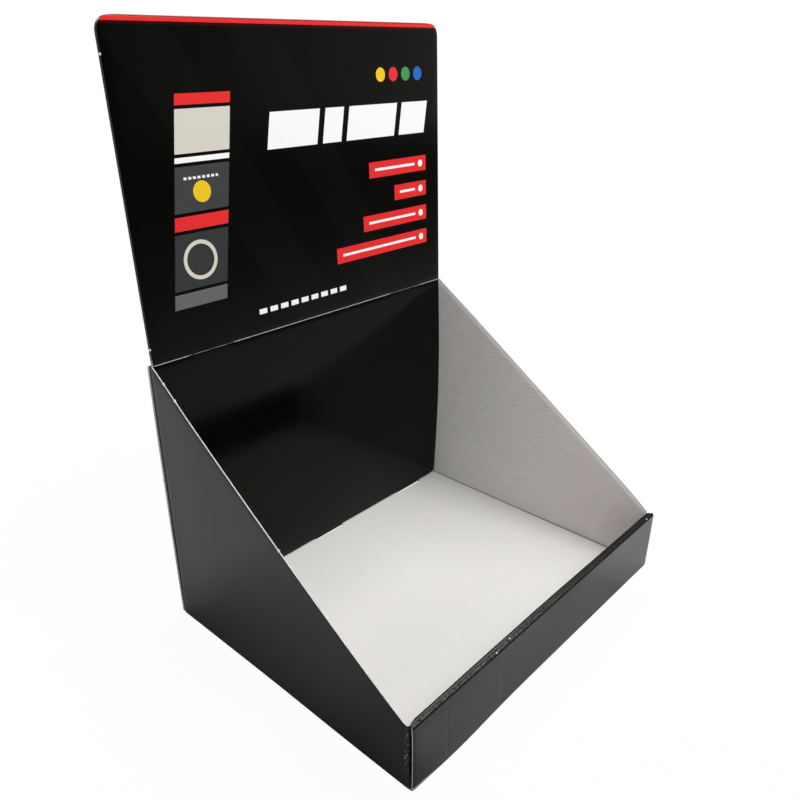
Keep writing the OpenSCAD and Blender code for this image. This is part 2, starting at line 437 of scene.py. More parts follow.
def paper_tufts(centres, along, over, out):
    """Torn tufts of paper: blocks that narrow from centre + root * out to centre + out.

    Their half sizes are along and over at the root, and tip times as much at the end.
    """
    root, tip = -0.4, 0.55
    ring = ((-1, -1), (1, -1), (1, 1), (-1, 1))
    corners = np.array([(a, w, end) for end in (root, 1.0) for a, w in ring])
    spread = np.where(corners[:, 2:] > 0, tip, 1.0)
    offsets = spread * (corners[:, :1] * along + corners[:, 1:2] * over) + corners[:, 2:] * out
    block = np.array([(3, 2, 1, 0), (4, 5, 6, 7), (0, 1, 5, 4), (1, 2, 6, 5), (2, 3, 7, 6), (3, 0, 4, 7)])
    if np.dot(np.cross(along, over), out) < 0:
        block = block[:, ::-1]
    quads = (8 * np.arange(len(centres))[:, None, None] + block).reshape(-1, 4)
    points = (centres[:, None] + offsets).reshape(-1, 3)
    blank = np.full(quads.shape + (2,), BARE_DEPTH)
    return Shell(points, quads, np.full(len(quads), CORE), blank, np.zeros(len(points)))


# Tray


class TrayPlan(NamedTuple):
    """Places worked out from the tray's and the board's sizes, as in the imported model."""

    bend_r: float
    side_x: float
    front_y: float
    back_y: float
    lip_d: float
    front_flap_y: float
    lip_inner_y: float
    lip_inner_z: float
    lip_half: float
    card_y: float
    side_y0: float
    side_y1: float
    side_front_h: float
    lip_tab_x: float
    card_tab_x: float


def tray_plan(board, tray, header):
    """Works out where the tray's walls, folds and tabs stand."""
    bend_r = board.board_t + board.fold_r
    side_x = tray.width / 2
    front_y = -tray.depth / 2
    back_y = tray.depth / 2
    lip_d = 3 * board.board_t + board.lip_gap + board.ply_gap
    front_flap_y = front_y + board.board_t + board.lip_gap
    rear_face_y = back_y - board.board_t - board.ply_gap
    lip_half = side_x - board.board_t - board.fit_gap
    return TrayPlan(
        bend_r=bend_r,
        side_x=side_x,
        front_y=front_y,
        back_y=back_y,
        lip_d=lip_d,
        front_flap_y=front_flap_y,
        lip_inner_y=front_y + lip_d - board.board_t,
        lip_inner_z=board.board_t + board.fit_gap,
        lip_half=lip_half,
        card_y=header.face_y,
        side_y0=front_flap_y + bend_r,
        side_y1=rear_face_y - bend_r,
        side_front_h=tray.front_h - board.board_t - board.ply_gap,
        lip_tab_x=lip_half - tray.tab_inset - tray.tab_w / 2,
        card_tab_x=header.width / 2 - header.tab_inset - header.tab_w / 2,
    )


def card_tab_places(plan, header):
    """Centres of the card's tabs across the tray."""
    return np.linspace(-plan.card_tab_x, plan.card_tab_x, header.tab_n)


def floor_slots(board, tray, header, plan):
    """Rectangles x0, x1, y0, y1 of the slots that the tabs lock into."""
    gap = board.fit_gap
    slots = []
    for centres, width, y in (((-plan.lip_tab_x, plan.lip_tab_x), tray.tab_w, plan.lip_inner_y),
                              (card_tab_places(plan, header), header.tab_w, plan.card_y)):
        for x in centres:
            slots.append((x - width / 2 - gap, x + width / 2 + gap, y - 2 * gap, y + board.board_t + gap))
    return slots


def floor_lines(plan, slots):
    """Lines across the floor from front to back: even steps, the slots' edges and the sides' ends."""
    low, high = plan.front_y + plan.bend_r, plan.back_y - plan.bend_r
    edges = [edge for slot in slots for edge in slot[2:]]
    lines = np.concatenate([[low, plan.side_y0, plan.side_y1, high], edges, np.linspace(low, high, 31)])
    return np.unique(np.round(lines, 7))


def fold_floor_and_back(board, tray, plan, slots, lines):
    """Back wall and floor in one strip, from the wall's top edge down and forwards.

    The strip's half width grows from the floor's to the wall's through the bottom fold. The wall's edges
    stand off the flaps by back_bow * sqrt(sin(pi s)), with s the place down the wall.
    """
    chain = fold_chain((plan.back_y, tray.back_h), (0.0, -1.0), [
        flat_run(tray.back_h - plan.bend_r, 20),
        bend_run(plan.bend_r),
        Run(lines[-1] - lines[::-1]),
    ])
    floor_half = plan.side_x - plan.bend_r
    edges = np.array([edge for slot in slots for edge in slot[:2]])
    across = np.unique(np.round(np.concatenate([np.linspace(-1, 1, 49), edges / floor_half]), 7))
    corner = tray.back_h - plan.bend_r
    half = np.interp(chain.flat, [corner, corner + QUARTER * plan.bend_r], [plan.side_x, floor_half])
    x = across[:, None] * half
    outer, normal, along, fold = spread_chain(chain, x)
    middle_x, middle_y = np.moveaxis((outer[1:, 1:] + outer[:-1, :-1]) / 2, -1, 0)[:2]
    on_floor = outer[:-1, :-1, 2] < board.board_t / 2
    keep = np.ones(middle_x.shape, bool)
    for x0, x1, y0, y1 in slots:
        inside = (middle_x > x0) & (middle_x < x1) & (middle_y > y0) & (middle_y < y1)
        keep &= ~(inside & on_floor)
    beside = on_floor[0] & (middle_y[0] > plan.side_y0) & (middle_y[0] < plan.side_y1)
    flat = np.stack([x, along], axis=-1)
    cut = np.where(chain.flat < corner, np.minimum(half - np.abs(x), chain.flat), tray.width)
    outer, inner = press_edges(board, outer, normal, cut)
    edge_reach = 40 * MM
    stand_off = tray.back_bow * np.sin(math.pi * np.clip(chain.flat / corner, 0.0, 1.0)) ** 0.5
    stand_off = stand_off * smooth_step(edge_reach, 0.0, half - np.abs(x))
    for face in (outer, inner):
        face[..., 1] += stand_off
    edge = (outer[0] + inner[0]) / 2
    tufts = paper_tufts(
        edge_places(chain.flat, edge, tray.back_h - BACK_NICKS),
        along=np.array([0, 0, 0.6]) * MM, over=np.array([0, 0.4, 0]) * MM, out=np.array([-0.6, 0, 0]) * MM)
    return [sheet_shell(outer, inner, flat, fold, keep, open_first=beside, open_last=beside), tufts]


def side_heights(board, tray, plan, flat, span):
    """Lowest and highest height at each place along a side and its flaps.

    The top slants along the side and tapers along the flaps, and the flaps' bottoms taper too.
    """
    end = flat[-1]
    marks = [0.0, tray.front_flap_l, span[0], span[1] - board.fold_r, end - tray.rear_flap_l, end]
    high = np.interp(flat, marks, [
        plan.side_front_h - tray.flap_taper, plan.side_front_h, plan.side_front_h,
        tray.back_h, tray.back_h, tray.back_h - tray.flap_taper])
    low = np.interp(flat, [marks[0], marks[1], marks[4], marks[5]], [
        plan.bend_r + tray.flap_taper, plan.bend_r, plan.bend_r, plan.bend_r + tray.flap_taper])
    return low, high


def side_rows(low, high):
    """Shares of a side's height for its rows, which lie close together at its fold and its cut top edge."""
    top = 1.0 - np.array([6.0, 2.2, 1.0, 0.0])[:, None] * MM / (high - low)
    even = np.concatenate([[0.0, 0.004, 0.013], np.linspace(0.03, 0.96, 24)])
    return np.concatenate([even[:, None] * top[0], top])


def side_face(plan, chain, root_x, turn, height):
    """Outer face of a left side and its normals.

    Its first rows are a small dome that closes the bottom fold at the corners. They turn from the floor's
    plane up to the wall. The other rows are the wall at the given heights.
    """
    shape = (len(turn) + len(height), len(chain.flat), 3)
    dome, wall = slice(None, len(turn)), slice(len(turn), None)
    outer, normal = np.zeros(shape), np.zeros(shape)
    outer[dome, :, 0] = root_x + np.sin(turn)[:, None] * (chain.points[:, 0] - root_x)
    outer[dome, :, 1] = chain.points[:, 1]
    outer[dome, :, 2] = plan.bend_r * (1.0 - np.cos(turn))[:, None]
    outer[wall, :, :2] = chain.points
    outer[wall, :, 2] = height
    normal[dome, :, :2] = np.sin(turn)[:, None, None] * chain.normals
    normal[dome, :, 2] = -np.cos(turn)[:, None]
    normal[wall, :, :2] = chain.normals
    return outer, normal


def side_moves(board, tray, plan, flat, span, height, rise, turn, bow, belly):
    """How far each corner of a left side moves out of true.

    The side bows out by bow * 4 q (1 - q) * s, with s the share of its height and q the place along it
    raised to the power belly, and draws in towards its rear fold. Its foot splays at the front. The front
    flap leans against the front wall. Over its heel the front fold leans from the front wall's foot back to
    the lip.
    """
    start, end = span
    wall = slice(len(turn), None)
    moves = np.zeros(height.shape + (3,))
    place = np.clip((flat - start) / (end - start), 0.0, 1.0) ** belly
    draw_l = 45 * MM
    draw = smooth_step(end - draw_l, end, flat) * np.minimum(8.0 * rise, 1.0)
    moves[wall, :, 0] = tray.rear_inset * draw - bow * 4.0 * place * (1.0 - place) * rise
    splay_from, splay_to, splay_h = 30 * MM, 130 * MM, 45 * MM
    splay = tray.splay * smooth_step(start + splay_to, start + splay_from, flat)
    splay = splay * smooth_step(splay_h, 0.0, height)
    splay[:len(turn)] *= np.sin(turn)[:, None]
    moves[..., 0] -= splay
    tuck_from, tuck_to = tray.front_flap_l - 4 * MM, tray.front_flap_l - 16 * MM
    moves[wall, :, 1] = -board.lip_gap * smooth_step(tuck_from, tuck_to, flat) * rise
    heel_h, along_side, along_flap = 14 * MM, 20 * MM, 6 * MM
    near = smooth_step(start + along_side, start, flat)
    near = near * smooth_step(tray.front_flap_l - along_flap, tray.front_flap_l, flat)
    foot_lean, top_lean = -1.3 * board.lip_gap, 0.75 * board.lip_gap
    lean = np.zeros(height.shape)
    lean[:len(turn)] = foot_lean * np.sin(turn)[:, None]
    lean[wall] = foot_lean + (top_lean - foot_lean) * smooth_step(0.0, heel_h, height[wall] - plan.bend_r)
    moves[..., 1] += near * lean
    return moves


def fold_side(board, tray, plan, lines, bow, belly, nicks):
    """Left side with its bottom fold and both tuck flaps, as a plan chain raised to its own height.

    A corner's height is low + s * (high - low), with s the share of its row.
    """
    lines = lines[(lines > plan.side_y0 - HAIR) & (lines < plan.side_y1 + HAIR)]
    root_x = -plan.side_x + plan.bend_r
    chain = fold_chain((root_x + tray.front_flap_l, plan.front_flap_y), (-1.0, 0.0), [
        flat_run(tray.front_flap_l, 6),
        bend_run(plan.bend_r),
        Run(lines - lines[0]),
        bend_run(plan.bend_r),
        flat_run(tray.rear_flap_l, 6),
    ])
    arc_l = QUARTER * plan.bend_r
    side_start = tray.front_flap_l + arc_l
    side_end = side_start + plan.side_y1 - plan.side_y0
    span = (side_start, side_end)
    low, high = side_heights(board, tray, plan, chain.flat, span)
    rise = side_rows(low, high)
    turn = np.linspace(0.0, QUARTER, 7)[:-1]
    outer, normal = side_face(plan, chain, root_x, turn, low + rise * (high - low))
    shape = outer.shape[:2]
    dome, wall = slice(None, len(turn)), slice(len(turn), None)
    cut = np.full(shape, tray.width)
    cut[wall] = (1.0 - rise) * (high - low)
    outer, inner = press_edges(board, outer, normal, cut)
    height = outer[..., 2]
    moves = side_moves(board, tray, plan, chain.flat, span, height, rise, turn, bow, belly)
    outer, inner = outer + moves, inner + moves
    middle = (chain.flat[1:] + chain.flat[:-1]) / 2
    on_side = (middle > side_start) & (middle < side_end)
    keep = np.ones((shape[0] - 1, shape[1] - 1), bool)
    keep[dome] = (middle > side_start - arc_l) & (middle < side_end + arc_l)
    climb = np.zeros(shape)
    climb[dome] = plan.bend_r * (turn - QUARTER)[:, None]
    climb[wall] = height[wall]
    flat = np.stack([-plan.side_x - climb, np.broadcast_to(chain.flat, shape)], axis=-1)
    foot = np.exp(-(np.maximum(height - plan.bend_r, 0.0) / FOLD_REACH) ** 2)
    foot *= (chain.flat > side_start - arc_l) & (chain.flat < side_end + arc_l)
    fold = np.maximum(np.broadcast_to(chain.fold, shape), foot)
    edge = (outer[-1] + inner[-1]) / 2
    slope = np.array([0.0, plan.side_y1 - plan.side_y0, tray.back_h - plan.side_front_h])
    slope /= np.linalg.norm(slope)
    tufts = paper_tufts(
        edge_places(chain.flat, edge, side_start + nicks - plan.side_y0), along=0.9 * MM * slope,
        over=np.array([0.6, 0, 0]) * MM, out=0.8 * MM * np.array([0, -slope[2], slope[1]]))
    return [sheet_shell(outer, inner, flat, fold, keep, open_first=on_side), tufts]


class LipMarks(NamedTuple):
    """Distances along the blank at which the parts of the rolled front start."""

    wall: float
    top_fold: float
    strip: float
    inner_fold: float
    inner_wall: float
    tabs: float


def lip_marks(tray, plan):
    """Works out where the parts of the rolled front start."""
    arc_l = QUARTER * plan.bend_r
    top_fold = arc_l + tray.front_h - 2 * plan.bend_r
    strip = top_fold + arc_l
    inner_fold = strip + plan.lip_d - 2 * plan.bend_r
    inner_wall = inner_fold + arc_l
    tabs = inner_wall + tray.front_h - plan.bend_r - plan.lip_inner_z
    return LipMarks(arc_l, top_fold, strip, inner_fold, inner_wall, tabs)


def lip_relief(board, tray, marks, x, flat_v):
    """Height of the lip's crushed flutes and scored lines.

    Crushed flutes ripple the strip by ripple * (0.6 sin(p) + 0.3 sin(2 p) + 0.4 sin(x / 9 mm)), with p the
    flute's phase, under a bell over the strip. Two scored lines dip along the top folds.
    """
    phase = 2 * math.pi * x / board.flute_pitch + 1.2 * np.sin(x / (13 * MM))
    middle = (marks.strip + marks.inner_fold) / 2
    slip = (flat_v - middle) / (2.4 * MM)
    ripple = 0.6 * np.sin(phase + 0.9 * slip) + 0.3 * np.sin(2.03 * phase - 1.7 * slip + 1.1)
    ripple += 0.4 * np.sin(x / (9 * MM) + slip) * np.sin(x / (5.3 * MM) + 2.0)
    lift = tray.ripple * ripple * bell(middle, 3.0 * MM, flat_v)
    for score in ((marks.top_fold + marks.strip) / 2, (marks.inner_fold + marks.inner_wall) / 2):
        lift -= tray.score_d * bell(score, 0.5 * MM, flat_v)
    return lift


def wall_relief(tray, plan, marks, x, flat_v):
    """Height of the front wall's marks.

    The wall steps out over the end of the tucked flap, has a dent near its left end and is a little uneven.
    Near its left end it leans out to its foot.
    """
    on_wall = smooth_step(marks.wall, marks.wall + 6 * MM, flat_v)
    on_wall = on_wall * smooth_step(marks.top_fold, marks.top_fold - 5 * MM, flat_v)
    flap_end = -plan.side_x + plan.bend_r + tray.front_flap_l
    mark_w, dent_x = 0.9 * MM, -108 * MM
    uneven = tray.flap_step * smooth_step(flap_end + mark_w, flap_end - mark_w, x)
    uneven -= tray.dent * bell(dent_x, mark_w, x)
    uneven += tray.wall_wave * np.sin(x / (24 * MM) + 0.6) * np.sin(flat_v / (17 * MM))
    bulge_x, bulge_reach = -98 * MM, 38 * MM
    to_foot = np.clip((marks.top_fold - flat_v) / (marks.top_fold - marks.wall), 0.0, 1.0)
    foot = to_foot * smooth_step(0.0, marks.wall, flat_v)
    return on_wall * uneven + tray.foot_bulge * foot * bell(bulge_x, bulge_reach, x)


def lip_moves(tray, plan, marks, x, flat_v):
    """How far the lip moves out of true along x and y.

    The strip narrows towards its left end, where the inner wall ends short of the side. The lip flares at
    its right end.
    """
    end_x, inset_x, swing_x, flare_x = -134 * MM, -116 * MM, 60 * MM, 100 * MM
    inset = smooth_step(inset_x, end_x, x) * smooth_step(marks.inner_fold, marks.inner_wall, flat_v)
    flare = smooth_step(flare_x, plan.side_x, x) * smooth_step(0.0, 35 * MM, flat_v)
    flare = flare * smooth_step(marks.inner_wall, marks.inner_fold, flat_v)
    swing = bell(0.0, swing_x, x) - smooth_step(-swing_x, end_x, x)
    swing = swing * smooth_step((marks.top_fold + marks.strip) / 2, marks.inner_fold, flat_v)
    swing = swing * smooth_step(marks.inner_wall + 14 * MM, marks.inner_wall, flat_v)
    along_x = tray.end_inset * inset + tray.flare * flare
    return np.stack([along_x, tray.strip_swing * swing, np.zeros_like(x)], axis=-1)


def lip_chips(tray, plan):
    """Chips of bare paper round the lip's front fold."""
    chips = []
    for chip_x, turn in zip(LIP_CHIPS, CHIP_TURNS):
        tilt = np.array([0.0, -math.cos(turn), math.sin(turn)])
        axis = np.array([chip_x, plan.front_y + plan.bend_r, tray.front_h - plan.bend_r])
        chips.append(paper_tufts(
            (axis + plan.bend_r * tilt)[None], along=np.array([0.6, 0, 0]) * MM,
            over=0.45 * MM * np.array([0, tilt[2], -tilt[1]]), out=0.25 * MM * tilt))
    return chips


def roll_front(board, tray, plan):
    """Rolled front: bottom fold, outer wall, top strip, inner wall and its two lock tabs.

    The half width narrows from the tray's to the inner wall's over the strip. The reliefs move the board
    along its normals.
    """
    marks = lip_marks(tray, plan)
    chain = fold_chain((plan.front_y + plan.bend_r, 0.0), (-1.0, 0.0), [
        bend_run(plan.bend_r),
        flat_run(marks.top_fold - marks.wall, 10),
        bend_run(plan.bend_r, count=10),
        plain_run(marks.inner_fold - marks.strip, 4),
        bend_run(plan.bend_r, count=10),
        flat_run(marks.tabs - marks.inner_wall, 6),
        plain_run(plan.lip_inner_z - board.tab_lift, 2),
    ])
    tab_edges = [side * plan.lip_tab_x + end * tray.tab_w / 2 for side in (-1, 1) for end in (-1, 1)]
    count = round(6 * tray.width / board.flute_pitch)
    across = np.concatenate([np.linspace(-1, 1, count + 1), np.array(tab_edges) / plan.lip_half])
    across = np.unique(np.round(across, 7))
    half = np.interp(chain.flat, [marks.strip, marks.inner_fold], [plan.side_x, plan.lip_half])
    x = across[:, None] * half
    outer, normal, flat_v, fold = spread_chain(chain, x)
    lift = lip_relief(board, tray, marks, x, flat_v) + wall_relief(tray, plan, marks, x, flat_v)
    outer = outer + lift[..., None] * normal + lip_moves(tray, plan, marks, x, flat_v)
    keep = np.ones((len(across) - 1, len(chain.flat) - 1), bool)
    middle_x = (x[1:, -1] + x[:-1, -1]) / 2
    below = chain.flat[1:] > marks.tabs + HAIR
    keep[:, below] = (np.abs(np.abs(middle_x) - plan.lip_tab_x) < tray.tab_w / 2)[:, None]
    flat = np.stack([x, flat_v], axis=-1)
    outer, inner = press_edges(board, outer, normal, half - np.abs(x))
    return [sheet_shell(outer, inner, flat, fold, keep), *lip_chips(tray, plan)]


# Header card


class CardMarks(NamedTuple):
    """Lengths and radii along the header card's blank, and the place of its crease."""

    tab_l: float
    panel_l: float
    crease_at: float
    crease_r: float
    layer_l: float
    top_r: float


def card_marks(board, tray, header):
    """Works out the lengths of the card's parts."""
    tab_l = board.board_t - board.tab_lift
    panel_l = tray.back_h + header.crease_rise - board.board_t
    top_r = board.board_t + header.layer_gap / 2
    return CardMarks(tab_l, panel_l, tab_l + panel_l, 2 * MM, header.height - top_r, top_r)


def card_chain(board, header, plan, marks):
    """Printed face of the card, with close lines at its rounded corners and beside its crease."""
    corner = np.cos(np.linspace(0.0, QUARTER, 11))
    # Distances from the crease of the lines that shape its groove
    groove = np.array([0.08, 0.21, 1.2, 4.0]) * MM
    panel_steps = np.concatenate([
        header.panel_corner_r * (1 - corner), np.linspace(14 * MM, marks.panel_l - 8 * MM, 16),
        marks.panel_l - groove[::-1], [marks.panel_l]])
    corner_start = header.height - header.corner_r
    layer_steps = np.concatenate([
        [0.0], groove, np.linspace(9 * MM, corner_start - 4 * MM, 16),
        corner_start + header.corner_r * np.sin(np.linspace(0.0, QUARTER, 13))])
    layer_steps = np.append(layer_steps[layer_steps < marks.layer_l - 0.05 * MM], marks.layer_l)
    return fold_chain((plan.card_y, board.tab_lift), (0.0, 1.0), [
        plain_run(marks.tab_l, 2),
        Run(panel_steps),
        bend_run(marks.crease_r, header.lean, 1),
        Run(layer_steps),
        bend_run(marks.top_r, math.pi, 12),
        Run(marks.layer_l - layer_steps[::-1]),
    ])


def card_outline(header, marks, flat):
    """Rise above the crease and half width at each place along the card.

    Over the top fold the rise is layer_l + top_r * sin(t). The half width follows a circle at the panel's
    bottom and at the header's top, width / 2 - r + sqrt(r^2 - d^2).
    """
    climb = np.clip(flat - marks.crease_at - marks.crease_r * header.lean, 0.0, None)
    over_top = (climb - marks.layer_l) / marks.top_r
    fold_rise = marks.layer_l + marks.top_r * np.sin(np.clip(over_top, 0.0, math.pi))
    down = 2 * marks.layer_l + math.pi * marks.top_r - climb
    rise = np.where(over_top < 0, climb, np.where(over_top > math.pi, down, fold_rise))
    above = np.clip(rise - (header.height - header.corner_r), 0.0, header.corner_r)
    beneath = np.clip(marks.tab_l + header.panel_corner_r - flat, 0.0, header.panel_corner_r)
    half = np.full(len(flat), header.width / 2)
    for radius, into in ((header.corner_r, above), (header.panel_corner_r, beneath)):
        half -= radius - np.sqrt(radius ** 2 - into ** 2)
    return rise, half


def card_moves(header, marks, x, flat_v, rise):
    """How far the card moves out of true.

    The panel bows forward by panel_bow * sin(pi s^k), with s the place up the panel and k rising from 0.6
    to 1 towards its right edge. The header's top curls back and settles with the square of its height, and
    its left edge leans out. The crease drops and the panel's foot lifts towards the right.
    """
    up_panel = np.clip((flat_v - marks.tab_l) / marks.panel_l, 0.0, 1.0)
    up_header = np.broadcast_to(rise, x.shape) / header.height
    share = x / header.width + 0.5
    to_right = smooth_step(-20 * MM, header.width / 2, x)
    bow = header.panel_bow * (1.0 - 0.14 * to_right) * np.sin(math.pi * up_panel ** (0.6 + 0.4 * to_right))
    moves = np.zeros(x.shape + (3,))
    moves[..., 0] = -header.skew * up_header * (1.0 - share)
    moves[..., 1] = header.top_curl * up_header ** 2 - bow
    moves[..., 2] = header.skew / header.height * x * smooth_step(0.0, 0.2, up_header)
    moves[..., 2] -= header.sag * (0.4 + 0.6 * share) * up_panel * (1.0 - up_header)
    moves[..., 2] -= header.settle * up_header ** 2
    moves[..., 2] += header.foot_lift * (0.35 + 0.65 * share) * smooth_step(0.2, 0.0, up_panel)
    return moves


def fold_card(board, tray, header, plan):
    """Header card: inner panel with tabs, scored crease, front layer, top fold and rear layer.

    The score dips under a bell along the crease. Where the crease is cut, a groove opens to the core.
    """
    marks = card_marks(board, tray, header)
    chain = card_chain(board, header, plan, marks)
    rise, half = card_outline(header, marks, chain.flat)
    bridge_x = header.width / 2 - header.score_end_l
    centre_x = bridge_x - header.score_bridge_l
    tabs = card_tab_places(plan, header)
    foot_half = header.width / 2 - header.panel_corner_r
    across = np.concatenate([
        np.linspace(-1, 1, 73),
        np.array([-bridge_x, -centre_x, centre_x, bridge_x]) / (header.width / 2),
        np.concatenate([tabs - header.tab_w / 2, tabs + header.tab_w / 2]) / foot_half])
    across = np.unique(np.round(across, 7))
    x = across[:, None] * half
    outer, normal, flat_v, fold = spread_chain(chain, x)
    outer, inner = press_edges(board, outer, normal, half - np.abs(x))
    is_cut = (np.abs(x) < centre_x + HAIR) | (np.abs(x) > bridge_x - HAIR)
    cut_d, score_d, score_reach = 0.55 * MM, 0.12 * MM, 0.24 * MM
    dip = np.where(is_cut, cut_d, score_d) * bell(marks.crease_at, score_reach, flat_v)
    moves = card_moves(header, marks, x, flat_v, rise)
    outer, inner = outer - dip[..., None] * normal + moves, inner + moves
    keep = np.ones((len(across) - 1, len(chain.flat) - 1), bool)
    foot_x = (x[1:, 0] + x[:-1, 0]) / 2
    is_tab = np.min(np.abs(foot_x[:, None] - tabs), axis=1) < header.tab_w / 2
    keep[:, chain.flat[1:] < marks.tab_l + HAIR] = is_tab[:, None]
    middle = (chain.flat[1:] + chain.flat[:-1]) / 2
    middle_x = (x[1:, :-1] + x[:-1, :-1]) / 2
    groove_half = 0.20 * MM
    cut_cell = (np.abs(middle_x) < centre_x) | (np.abs(middle_x) > bridge_x)
    paint = np.where(cut_cell & (np.abs(middle - marks.crease_at) < groove_half), CORE, PRINT)
    flat = np.stack([x, flat_v], axis=-1)
    edge = (outer[0] + inner[0]) / 2
    tufts = paper_tufts(
        edge_places(chain.flat, edge, marks.crease_at + HEADER_NICKS),
        along=np.array([0, 0, 0.7]) * MM, over=np.array([0, 0.5, 0]) * MM, out=np.array([-0.7, 0, 0]) * MM)
    return [sheet_shell(outer, inner, flat, fold, keep, paint), tufts]


# Finishes


class Value:
    """Shader socket that adds a Math node for each operator used on it."""

    def __init__(self, tree, socket):
        self.tree = tree
        self.socket = socket

    def math(self, operation, first, second=None):
        """Adds one Math node for the operation."""
        node = self.tree.nodes.new("ShaderNodeMath")
        node.operation = operation
        feed(self.tree, node.inputs[0], first)
        if second is not None:
            feed(self.tree, node.inputs[1], second)
        return Value(self.tree, node.outputs[0])

    def __add__(self, other):
        return self.math("ADD", self, other)

    def __sub__(self, other):
        return self.math("SUBTRACT", self, other)

    def __rsub__(self, other):
        return self.math("SUBTRACT", other, self)

    def __mul__(self, other):
        return self.math("MULTIPLY", self, other)

    def __truediv__(self, other):
        return self.math("DIVIDE", self, other)

    def __pow__(self, other):
        return self.math("POWER", self, other)

    def __abs__(self):
        return self.math("ABSOLUTE", self)

    def __mod__(self, other):
        return self.math("FLOORED_MODULO", self, other)

    __radd__ = __add__
    __rmul__ = __mul__

    def least(self, other):
        """Smaller of two values."""
        return self.math("MINIMUM", self, other)

    def most(self, other):
        """Larger of two values."""
        return self.math("MAXIMUM", self, other)

    def sine(self):
        """Sine of an angle in radians."""
        return self.math("SINE", self)

    def clamp(self):
        """Value held between 0 and 1."""
        return self.most(0.0).least(1.0)


def feed(tree, socket, value):
    """Links a Value to a socket, or sets the socket to a plain value."""
    if isinstance(value, Value):
        tree.links.new(value.socket, socket)
    elif socket.type == "RGBA" and len(value) == 3:
        socket.default_value = (*value, 1.0)
    else:
        socket.default_value = value


class Finish:
    """Material or world under construction."""

    def __init__(self, owner):
        owner.use_nodes = True
        self.owner = owner
        self.tree = owner.node_tree
        self.tree.nodes.clear()

    def node(self, kind, settings=None, values=None, output=0):
        """Adds a node: its settings first, then the values or links of its sockets; gives one output."""
        node = self.tree.nodes.new(kind)
        for name, setting in (settings or {}).items():
            setattr(node, name, setting)
        for name, value in (values or {}).items():
            feed(self.tree, node.inputs[name], value)
        return Value(self.tree, node.outputs[output]) if len(node.outputs) else None

    def blank(self):
        """Coordinates on the unfolded blank, along U and V in metres."""
        return self.axes(self.node("ShaderNodeUVMap", {"uv_map": "blank"}))[:2]

    def axes(self, place):
        """Parts of a place along X, Y and Z."""
        return [self.node("ShaderNodeSeparateXYZ", None, {0: place}, axis) for axis in range(3)]

    def object_place(self):
        """Place in the object's own coordinates."""
        return self.node("ShaderNodeTexCoord", None, None, "Object")

    def noise(self, place, scale, detail=2.0, stretch=(1.0, 1.0, 1.0)):
        """Noise from 0 to 1 at the given number of cells a metre along each stretched axis."""
        moved = self.node("ShaderNodeMapping", None, {"Vector": place, "Scale": stretch})
        return self.node("ShaderNodeTexNoise", None, {"Vector": moved, "Scale": scale, "Detail": detail})

    def mix(self, factor, first, second):
        """Colour between first and second."""
        return self.node("ShaderNodeMix", {"data_type": "RGBA"}, {0: factor, 6: first, 7: second}, 2)

    def ramp(self, value, low, high):
        """Value carried from low..high to 0..1 with level ends."""
        return self.node("ShaderNodeMapRange", {"interpolation_type": "SMOOTHSTEP"},
                         {"Value": value, "From Min": low, "From Max": high})

    def stripe(self, value, middle, reach, core):
        """1 within core of the middle, falling to 0 at reach."""
        return self.ramp(abs(value - middle), reach, core)

    def bump(self, height, distance, below=None):
        """Normal of a relief of the given height in metres."""
        values = {"Height": height, "Distance": distance, "Strength": 1.0}
        if below is not None:
            values["Normal"] = below
        return self.node("ShaderNodeBump", None, values)

    def board(self, base, roughness, normal, specular, tint=(1.0, 1.0, 1.0)):
        """Ends the material in a shader with the given specular level and tint."""
        shader = self.node("ShaderNodeBsdfPrincipled", None, {
            "Base Color": base, "Roughness": roughness, "Normal": normal, "Specular IOR Level": specular,
            "Specular Tint": tint})
        self.node("ShaderNodeOutputMaterial", None, {"Surface": shader})
        return self.owner


def shaded(colour, share):
    """Colour times a share, one for all channels or one for each, and at most 1."""
    return np.minimum(1.0, np.multiply(list(colour), share)).tolist()


def fold_mark(finish):
    """Fold weight of the surface, 1 on a fold and 0 on flat board."""
    return finish.node("ShaderNodeAttribute", {"attribute_name": "fold"}, None, "Fac")


def flute_wave(across, pitch):
    """Washboard of the flutes: 0.5 + 0.5 sin(2 pi u / pitch)."""
    return (across * (2 * math.pi / pitch)).sine() * 0.5 + 0.5


